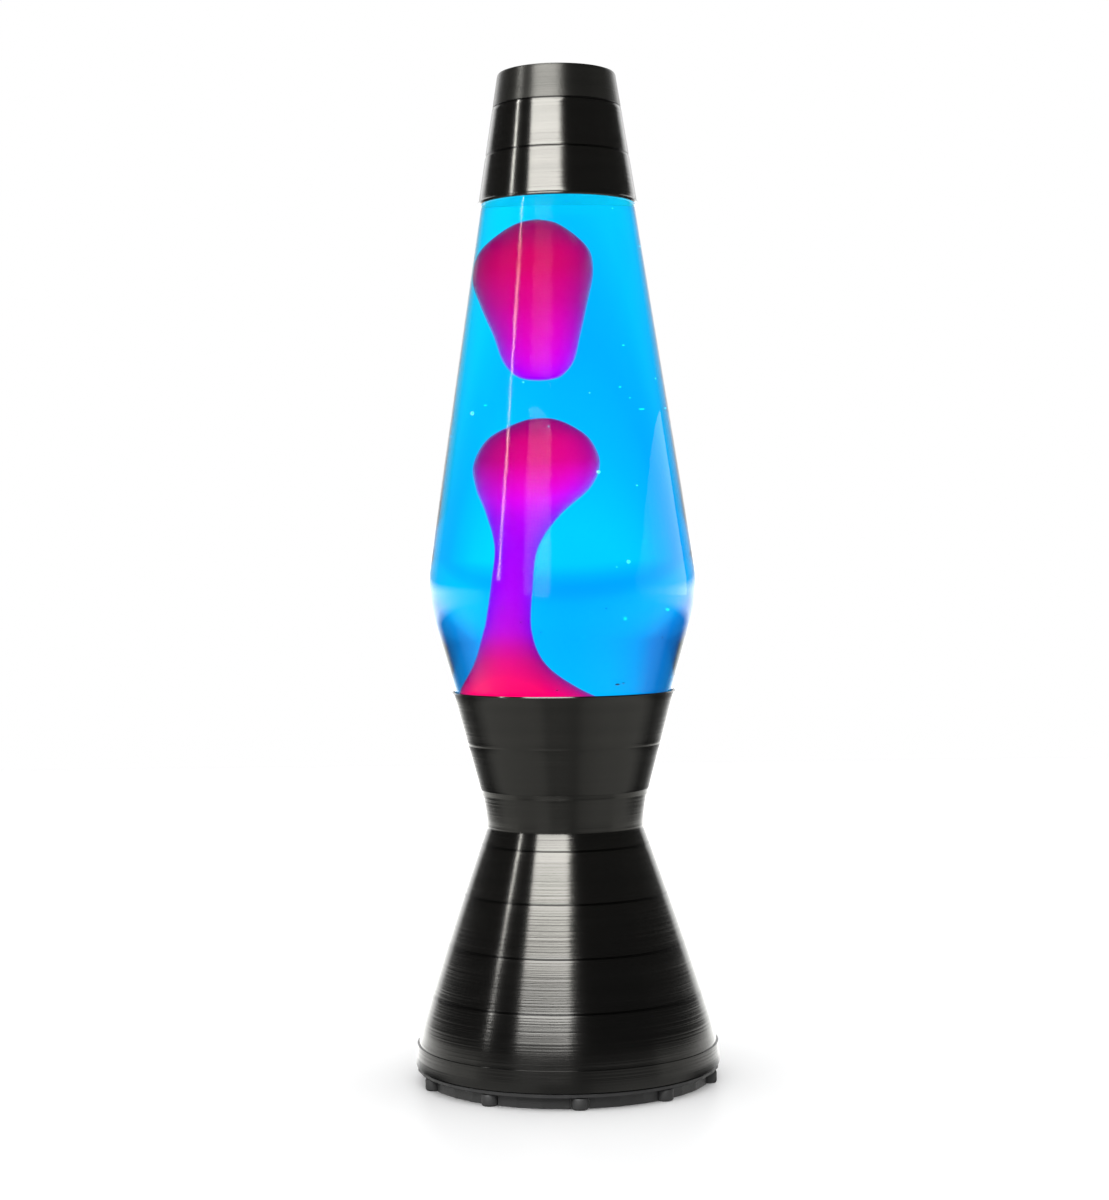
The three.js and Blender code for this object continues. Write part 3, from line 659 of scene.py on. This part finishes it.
def bottle_outer():
    bend = bottle_bend(0)
    foot = BOTTLE_LOW
    shoulder = (upper_wall(SHOULDER), SHOULDER)
    return [
        (0, foot + 1.6), (12, foot + 1.45), (20, foot + 1.1), (23.5, foot + 0.6),
        (25.3, foot + 0.05), (26.6, foot), (28.0, foot + 0.35), (29.5, foot + 1.4),
        (30.6, foot + 2.7), (lower_wall(foot + 4.5), foot + 4.5),
        *straight((lower_wall(foot + 12), foot + 12), bend[0], 6), *bend[1:-1],
        *straight(bend[-1], shoulder, 12),
        *bow(shoulder, (29, SHOULDER + 8), (NECK_R, NECK_FOOT), 14),
        (NECK_R, NECK_FOOT + 4), (NECK_R + 0.15, MOUTH_Z - 4), (NECK_R, MOUTH_Z - 1),
        (NECK_R - 0.25, MOUTH_Z - 0.3), (NECK_R - 0.9, MOUTH_Z),
    ]


def bottle_inner(inset, top):
    """The inside from the foot upwards, inset from the outer wall, up to the shoulder."""
    floor = BOTTLE_LOW + GLASS_WALL + 0.4
    bend = bottle_bend(inset)
    push = GLASS_WALL - inset
    return [
        (0, floor + 0.8 - push), (22, floor - push), (25.5 + push, floor + 0.4 - push),
        (27.6 + push, floor + 1.4 - push), (lower_wall(floor + 3.5) - inset, floor + 3.5),
        *straight((lower_wall(floor + 12) - inset, floor + 12), bend[0], 6), *bend[1:-1],
        *straight(bend[-1], (upper_wall(top) - inset, top), 12),
    ]


def bottle():
    inside = bottle_inner(GLASS_WALL, liquid_top)
    last = inside[-1]
    throat = [*bow(last, (26, SHOULDER + 5), (BORE, NECK_FOOT + 1), 14), (BORE, MOUTH_Z - 1),
              (BORE + 0.5, MOUTH_Z - 0.1)]
    piece = turned(
        "blown_bottle", [*bottle_outer(), *throat[::-1], *inside[::-1]], bottle_glass, FINE,
        sharp_deg=60,
    )
    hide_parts("bottle_glass")
    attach(piece, "bottle")


LIQUID_INTO_GLASS = 0.15


def liquid():
    wall = bottle_inner(GLASS_WALL - LIQUID_INTO_GLASS, liquid_top)
    wet_r = wall[-1][0]
    surface = [(wet_r - 0.4, liquid_top - 0.35), (wet_r - 1.2, liquid_top - 0.7),
               (wet_r - 3, liquid_top - 0.9), (0, liquid_top - 0.9)]
    piece = turned("blue_liquid", [*wall, *surface], liquid_blue, FINE, sharp_deg=60)
    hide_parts("liquid")
    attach(piece, "bottle")


bottle()
liquid()


# ------------------------------------------------------------------ wax

def smooth_curve(keys, per_span):
    """Centripetal Catmull-Rom points through the keys."""
    keys = [np.array(k, float) for k in keys]
    padded = [2 * keys[0] - keys[1], *keys, 2 * keys[-1] - keys[-2]]
    points = []
    for p0, p1, p2, p3 in zip(padded, padded[1:], padded[2:], padded[3:]):
        t0 = 0
        t1 = t0 + np.linalg.norm(p1 - p0) ** 0.5
        t2 = t1 + np.linalg.norm(p2 - p1) ** 0.5
        t3 = t2 + np.linalg.norm(p3 - p2) ** 0.5
        for t in np.linspace(t1, t2, per_span, endpoint=False):
            a1 = (t1 - t) / (t1 - t0) * p0 + (t - t0) / (t1 - t0) * p1
            a2 = (t2 - t) / (t2 - t1) * p1 + (t - t1) / (t2 - t1) * p2
            a3 = (t3 - t) / (t3 - t2) * p2 + (t - t2) / (t3 - t2) * p3
            b1 = (t2 - t) / (t2 - t0) * a1 + (t - t0) / (t2 - t0) * a2
            b2 = (t3 - t) / (t3 - t1) * a2 + (t - t1) / (t3 - t1) * a3
            points.append((t2 - t) / (t2 - t1) * b1 + (t - t1) / (t2 - t1) * b2)
    points.append(keys[-1])
    return points


# Each key is (sideways offset of the centre, radius, height).
BLOB_KEYS = [
    (-6.4, 0.0, 296.4), (-6.4, 3.6, 296.8), (-6.5, 7, 298.3), (-6.7, 11, 304), (-7.1, 13.8, 316),
    (-8, 16.8, 329), (-8.6, 19.3, 343), (-8, 17.6, 352.4), (-7.3, 11, 360.4),
    (-7, 5.5, 364.4), (-6.9, 0.0, 365.8),
]
COLUMN_KEYS = [
    (-1.5, 37, 152.5), (-7, 30, 161), (-14, 19.8, 171), (-17.2, 11.5, 182.5),
    (-17.6, 7.7, 197), (-16, 6.8, 211), (-14.3, 7.2, 226), (-11.9, 12, 239.5),
    (-8.8, 18.2, 251), (-7.8, 20, 261), (-7.2, 16, 272), (-6.5, 9.5, 277.6), (-6.1, 4.2, 280.2),
    (-6, 0.0, 280.8),
]
WAX_FACETS = 96
WAX_LINE = 149.5         # the pool's edge against the glass
WAX_INTO_GLASS = 0.05


def wax_mesh(name, rings):
    """A wax skin through (offset, radius, height) rings from its lowest to its highest."""
    verts, faces = [], []
    for x, r, z in rings:
        for i in range(WAX_FACETS):
            turn = 2 * math.pi * i / WAX_FACETS
            ripple = 1 + 0.012 * math.sin(2 * turn + z / 13) + 0.008 * math.sin(3 * turn - z / 17)
            reach = max(r, 0.02) * ripple
            verts.append(((x + reach * math.cos(turn)) * MM, reach * math.sin(turn) * MM, z * MM))
    for level in range(len(rings) - 1):
        for i in range(WAX_FACETS):
            a, b = level * WAX_FACETS + i, level * WAX_FACETS + (i + 1) % WAX_FACETS
            faces.append((a, b, b + WAX_FACETS, a + WAX_FACETS))
    faces.append(tuple(range(WAX_FACETS))[::-1])
    top = (len(rings) - 1) * WAX_FACETS
    faces.append(tuple(range(top, top + WAX_FACETS)))
    piece = new_object(name, verts, faces, wax, sharp_deg=70)
    rest = piece.data.attributes.new(REST_PLACE, "FLOAT_VECTOR", "POINT")
    for vertex, spot in zip(piece.data.vertices, rest.data):
        spot.vector = vertex.co
    return piece


def wax_column():
    wall = bottle_inner(GLASS_WALL - WAX_INTO_GLASS, liquid_top)
    pool = [(0, r, z) for r, z in wall[1:] if z < WAX_LINE - 3.5]
    wet = lower_wall(WAX_LINE) - GLASS_WALL + WAX_INTO_GLASS
    rings = [*pool, (0, wet, WAX_LINE), (-0.4, wet - 0.5, WAX_LINE + 0.9),
             *smooth_curve(COLUMN_KEYS, 9)]
    piece = wax_mesh("wax_column", rings)
    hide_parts("wax_pool", "wax_neck", "wax_head")
    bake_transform(piece)


def wax_drop():
    piece = wax_mesh("wax_drop", smooth_curve(BLOB_KEYS, 9))
    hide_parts("wax_blob")
    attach(piece, "floating_wax")


wax_column()
wax_drop()


# ------------------------------------------------------------------ small pieces in the bottle

def tube(path, radius, sides, closed=False):
    """Vertices and faces of a round tube along path, in metres."""
    path = [Vector(p) for p in path]
    count = len(path)
    verts, faces = [], []
    for i, point in enumerate(path):
        before = path[i - 1] if i or closed else point
        after = path[(i + 1) % count] if i + 1 < count or closed else point
        along = (after - before).normalized()
        side = along.cross(Vector((0, 0, 1)))
        side = side.normalized() if side.length > 1e-6 else Vector((1, 0, 0))
        up = side.cross(along).normalized()
        for k in range(sides):
            turn = 2 * math.pi * k / sides
            verts.append(point + radius * (math.cos(turn) * side + math.sin(turn) * up))
    for i in range(count if closed else count - 1):
        for k in range(sides):
            m = (k + 1) % sides
            j = (i + 1) % count
            faces.append((i * sides + k, i * sides + m, j * sides + m, j * sides + k))
    if not closed:
        faces.append(tuple(range(sides))[::-1])
        faces.append(tuple(range((count - 1) * sides, count * sides)))
    return verts, faces


def heating_coil():
    """A closed ring of coiled steel spring that lies on the bottle's floor in the wax."""
    low, high = low_high("heating_coil")
    wire = 0.35
    coil = (high[2] - low[2]) / 2 - wire
    middle = (high[2] + low[2]) / 2
    turns, steps = 54, 14
    path = []
    for i in range(turns * steps):
        around = 2 * math.pi * i / (turns * steps)
        twist = 2 * math.pi * i / steps
        r = high[0] - wire - coil + coil * math.cos(twist)
        path.append(Vector((r * math.cos(around), r * math.sin(around),
                            middle + coil * math.sin(twist))) * MM)
    verts, faces = tube(path, wire * MM, 6, closed=True)
    piece = new_object("coiled_spring", verts, faces, steel)
    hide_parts("heating_coil")
    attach(piece, "bottle")


def crown_cap():
    flutes = 21
    low, high = low_high("crown_cap")
    foot, top = low[2], high[2]

    def fluted(r, z, turn):
        share = max(0, min(1, (top - 1.2 - z) / 4))
        return r * (1 + 0.028 * share * (math.cos(flutes * turn) - 1))

    outer = [(15.85, foot + 0.1), (15.8, foot + 0.6), (15.3, foot + 2.6), (14.9, foot + 4.6),
             (14.5, top - 1.2), (13.8, top - 0.4), (12.6, top), (8, top), (0, top)]
    inner = [(0, top - 0.45), (12.4, top - 0.45), (13.9, top - 1.5), (14.45, foot + 4.4),
             (15.2, foot + 0.4)]
    piece = turned("fluted_crown", [*inner, *outer], tin, flutes * 8, fluted, sharp_deg=50)
    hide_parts("crown_cap")
    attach(piece, "bottle")


def beads(name, places, material):
    """One mesh of small round bodies, each (x, y, z, radius, flatness)."""
    mesh = bmesh.new()
    for x, y, z, r, flat in places:
        at = Matrix.Translation(Vector((x, y, z)) * MM) @ Matrix.Diagonal((1, 1, flat, 1))
        bmesh.ops.create_icosphere(mesh, subdivisions=3, radius=r * MM, matrix=at)
    data = bpy.data.meshes.new(name)
    mesh.to_mesh(data)
    mesh.free()
    data.shade_smooth()
    data.materials.append(material)
    piece = bpy.data.objects.new(name, data)
    bpy.context.scene.collection.objects.link(piece)
    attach(piece, "bottle")
    return piece


BUBBLE_COUNT, CRUMB_COUNT = 28, 9
WAX_X, WAX_CLEAR_R = -10, 26      # bubbles keep out of this upright round the wax


def bubbles():
    """Small bubbles in the liquid, some against the glass, clear of the wax."""
    rng = random.Random(7)
    places = [
        (-35.4, -25.0, 283.9, 1.1, 0.9), (15, -45, 258.2, 0.9, 0.9), (26.6, -45.7, 221.3, 0.9, 0.9),
    ]
    while len(places) < BUBBLE_COUNT:
        z = rng.uniform(172, 372)
        wall = min(lower_wall(z), upper_wall(z)) - GLASS_WALL - 1
        reach = wall * rng.choice((0.55, 0.8, 0.97))
        turn = rng.uniform(0, 2 * math.pi)
        x, y = reach * math.cos(turn), reach * math.sin(turn)
        if math.hypot(x - WAX_X, y) > WAX_CLEAR_R:
            places.append((x, y, z, rng.choice((0.3, 0.4, 0.55)), 0.9))
    beads("liquid_bubbles", places, air)


def crumbs():
    """Loose dark crumbs of wax in the liquid by the wall."""
    rng = random.Random(3)
    places = [(21.6, -38.6, 171.3, 1.0, 0.35), (24, -37.4, 171.8, 0.6, 0.4)]
    for _ in range(CRUMB_COUNT):
        turn = math.radians(rng.uniform(-125, -20))
        z = rng.uniform(168, 215)
        reach = lower_wall(min(z, 190)) - GLASS_WALL - 1
        x, y = reach * math.cos(turn), reach * math.sin(turn)
        places.append((x, y, z, rng.uniform(0.25, 0.45), 0.6))
    beads("wax_crumbs", places, crumb_wax)


heating_coil()
crown_cap()
bubbles()
crumbs()


# ------------------------------------------------------------------ bulb

def bulb():
    low, high = low_high("bulb_reflector")
    neck, top, r = low[2], high[2], high[0]
    rim = top - 2.9
    facets = 36

    def fluted(radius, z, turn):
        return radius * (1 + 0.006 * math.cos(facets * turn))

    bowl = bow((r - 2.6, rim), (18.5, neck + 10.7), (6.5, neck + 3), 16)
    profile = [
        (6.5, neck), (10.6, neck), *bow((10.6, neck), (20.5, neck + 8.7), (r - 1, rim - 3), 16),
        (r, rim - 1.5), (r, top - 0.3), (r - 0.3, top), (r - 1.4, top), (r - 1.6, top - 0.3),
        (r - 1.6, rim), (r - 2.6, rim), *bowl,
    ]
    piece = turned("bulb_bowl", profile, mirror, facets * 4, fluted, sharp_deg=50)
    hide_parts("bulb_reflector")
    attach(piece, "bulb")
    low, high = low_high("bulb_lens")
    r, floor, top = high[0], low[2], high[2]
    shoulder = (r - 0.5, top - 1.2)
    dome = [(r, top - 1.6), shoulder, *bow(shoulder, (r / 2, top), (0, top), 16)]
    piece = turned("bulb_front", [(0, floor), (r, floor), *dome], lens, 96)
    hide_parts("bulb_lens")
    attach(piece, "bulb")


bulb()


# ------------------------------------------------------------------ studio

def studio_world():
    """A world that differs by ray: white for the camera and matt surfaces, a dark room with a white
    wall behind for gloss, and a blue backdrop for what is seen through the glass.
    """
    world = bpy.data.worlds.new("studio")
    bpy.context.scene.world = world
    world.use_nodes = True
    tree = world.node_tree
    background = tree.nodes["Background"]
    where = tree.nodes.new("ShaderNodeTexCoord")
    split = tree.nodes.new("ShaderNodeSeparateXYZ")
    tree.links.new(where.outputs["Generated"], split.inputs["Vector"])
    ray = tree.nodes.new("ShaderNodeLightPath")
    x, y, z = (remap(tree, split.outputs[axis], -1, 1, 0, 1) for axis in "XYZ")
    wall = ramp(tree, y, [
        (0.5, (0.04, 0.04, 0.042)), (0.85, grey(0.06)), (0.95, grey(0.6)),
        (0.98, grey(1.0)),
    ])
    front = ramp(tree, y, [(0.55, grey(1.0)), (0.72, grey(0.0))])
    sides = ramp(tree, x, [
        (0.12, grey(1.0)), (0.3, grey(0.75)), (0.36, grey(0.42)),
        (0.6, grey(0.42)), (0.68, grey(0.75)), (0.85, grey(1.0)),
    ])
    ground = ramp(tree, z, [
        (0.4, (0.95, 0.95, 0.93)), (0.475, grey(0.6)), (0.51, grey(0.0)),
    ])
    ground = mix_colours(tree, mix_colours(tree, ground, front), sides)
    level = ramp(tree, z, [
        (0.39, grey(0.0)), (0.43, (1.0, 1.0, 0.97)), (0.49, (1.0, 1.0, 0.97)),
        (0.52, grey(0.0)),
    ])
    level = mix_colours(tree, level, ramp(tree, y, [
        (0.05, grey(0.4)), (0.2, grey(0.5)), (0.31, grey(0.95)),
        (0.37, grey(2.1)), (0.55, grey(2.3)), (0.75, grey(3.0)),
    ]))
    level = mix_colours(tree, level, ramp(tree, x, [
        (0.4, grey(1.0)), (0.7, grey(0.85)),
    ]))
    ground = mix_colours(tree, ground, level, "LIGHTEN")
    gloss = mix_colours(tree, wall, ground, "ADD")
    sideways = combine(tree, "MULTIPLY", split.outputs["X"], split.outputs["X"])
    outward = combine(tree, "MULTIPLY_ADD", sideways, 0.4, split.outputs["Z"])
    glow = ramp(tree, remap(tree, outward, -1, 1, 0, 1), [
        (0.42, (0.5, 1.2, 1.25)), (0.45, (0.46, 1.15, 1.25)), (0.47, (0.34, 0.86, 1.2)),
        (0.49, (0.28, 0.71, 1.2)), (0.505, (0.3, 0.74, 1.2)), (0.525, (0.33, 0.86, 1.2)),
        (0.56, (0.34, 0.88, 1.2)), (0.6, (0.32, 0.82, 1.15)), (0.63, (0.25, 0.64, 1.0)),
        (0.66, (0.16, 0.4, 0.8)), (0.7, (0.11, 0.28, 0.62)), (0.8, (0.06, 0.15, 0.4)),
    ])
    left_to_right = ramp(tree, x, [
        (0.1, (0.9, 0.92, 1.0)), (0.5, grey(1.0)), (0.6, (1.05, 1.1, 1.1)),
        (0.7, (1.05, 1.16, 1.1)), (0.85, (1.05, 1.1, 1.0)),
    ])
    facing = ramp(tree, y, [(0.45, grey(0.0)), (0.55, grey(1.0))])
    backdrop = tree.nodes.new("ShaderNodeMix")
    backdrop.data_type = "RGBA"
    backdrop.inputs["A"].default_value = (0.3, 0.75, 0.8, 1)
    tree.links.new(facing, backdrop.inputs["Factor"])
    tree.links.new(mix_colours(tree, glow, left_to_right), backdrop.inputs["B"])

    def choose(flag, yes, no):
        """The colour yes for rays of the flag's kind, and no for the rest."""
        mix = tree.nodes.new("ShaderNodeMix")
        mix.data_type = "RGBA"
        tree.links.new(ray.outputs[flag], mix.inputs["Factor"])
        tree.links.new(no, mix.inputs["A"])
        if isinstance(yes, tuple):
            mix.inputs["B"].default_value = yes
        else:
            tree.links.new(yes, mix.inputs["B"])
        return mix.outputs["Result"]

    colour = choose("Is Transmission Ray", backdrop.outputs["Result"], gloss)
    colour = choose("Is Diffuse Ray", (*grey(1.3), 1), colour)
    colour = choose("Is Camera Ray", (*grey(1.0), 1), colour)
    tree.links.new(colour, background.inputs["Color"])
    background.inputs["Strength"].default_value = 1.0


TARGET_Z = 0.2         # height that every lamp points at
LAMP_DISTANCE = 1.3    # from that point


def softbox(name, azimuth, elevation, width, height, strength, lit, roll=0):
    """A rectangular lamp at azimuth from the front towards +X, shining only on the lit pieces."""
    light = bpy.data.lights.new(name, "AREA")
    light.shape = "RECTANGLE"
    light.size, light.size_y = width, height
    light.energy = strength * width * height * math.pi
    lamp = bpy.data.objects.new(name, light)
    bpy.context.scene.collection.objects.link(lamp)
    az, el = math.radians(azimuth), math.radians(elevation)
    out = Vector((math.sin(az) * math.cos(el), -math.cos(az) * math.cos(el), math.sin(el)))
    lamp.location = Vector((0, 0, TARGET_Z)) + out * LAMP_DISTANCE
    facing = out.to_track_quat("Z", "Y").to_matrix().to_4x4()
    lamp.rotation_euler = (facing @ Matrix.Rotation(math.radians(roll), 4, "Z")).to_euler()
    lamp.visible_camera = False
    lamp.visible_diffuse = False
    lamp.visible_transmission = False
    lamp.light_linking.receiver_collection = lit


def group(name, wanted):
    """A collection of the meshes whose first material is wanted."""
    pieces = bpy.data.collections.new(name)
    for obj in bpy.data.objects:
        if obj.type == "MESH" and obj.data.materials and wanted(obj.data.materials[0]):
            pieces.objects.link(obj)
    return pieces


FLOOR_HALF = 1.5


def floor():
    half = FLOOR_HALF
    mat, tree, shader = new_material("pale_floor", Roughness=0.4)
    dust = noise(tree, coordinates(tree), 0.01, 3.0, 0.5)
    tree.links.new(
        ramp(tree, dust, [(0.3, grey(0.96)), (0.7, grey(0.98))]),
        shader.inputs["Base Color"],
    )
    shader.inputs["Specular IOR Level"].default_value = 0.2
    ground = new_object("floor", [(-half, -half, 0), (half, -half, 0), (half, half, 0),
                                  (-half, half, 0)], [(0, 1, 2, 3)], mat)
    ground.visible_glossy = False
    ground.visible_transmission = False


LENS_MM, SENSOR_MM = 70.65, 36
CAMERA_DISTANCE, CAMERA_HEIGHT = 1.011, 0.2246
CAMERA_YAW, CAMERA_PITCH, CAMERA_ROLL = 0.195, -1.095, -0.70     # degrees


def camera():
    """The camera stands in front, a little above the lamp's middle, tipped down slightly."""
    data = bpy.data.cameras.new("camera")
    data.lens = LENS_MM
    data.sensor_width = SENSOR_MM
    eye = bpy.data.objects.new("camera", data)
    bpy.context.scene.collection.objects.link(eye)
    yaw, pitch, roll = (math.radians(a) for a in (CAMERA_YAW, CAMERA_PITCH, CAMERA_ROLL))
    eye.location = (0, -CAMERA_DISTANCE, CAMERA_HEIGHT)
    turn = Matrix.Rotation(yaw, 4, "Z") @ Matrix.Rotation(math.pi / 2 + pitch, 4, "X")
    eye.rotation_euler = (turn @ Matrix.Rotation(roll, 4, "Z")).to_euler()
    bpy.context.scene.camera = eye


studio_world()
floor()
glassy = group("glassy_pieces", lambda m: m in GLASSY)
solid = group("solid_pieces", lambda m: m not in GLASSY)
softbox("main_softbox", -20, 39.5, 1.0, 0.96, 22, solid)
softbox("strip_light", -77, 38, 0.045, 1.1, 44, solid, roll=23.5)
softbox("glass_softbox_low", -21, 9, 0.52, 0.68, 13, glassy)
softbox("glass_softbox_high", -21, 36, 0.52, 0.5, 6, glassy)
softbox("glass_strip", -55, 32, 0.07, 1.1, 52, glassy)
softbox("glass_side", 97, 6, 1.7, 0.45, 1.4, glassy)
softbox("rim_light_left", -148, 20, 0.5, 1.2, 1.5, solid)
softbox("rim_light_right", 148, 20, 0.5, 1.2, 1.5, solid)
camera()
scene = bpy.context.scene
scene.view_settings.view_transform = "Standard"
scene.cycles.max_bounces = 16
scene.cycles.transmission_bounces = 12
scene.cycles.transparent_max_bounces = 8
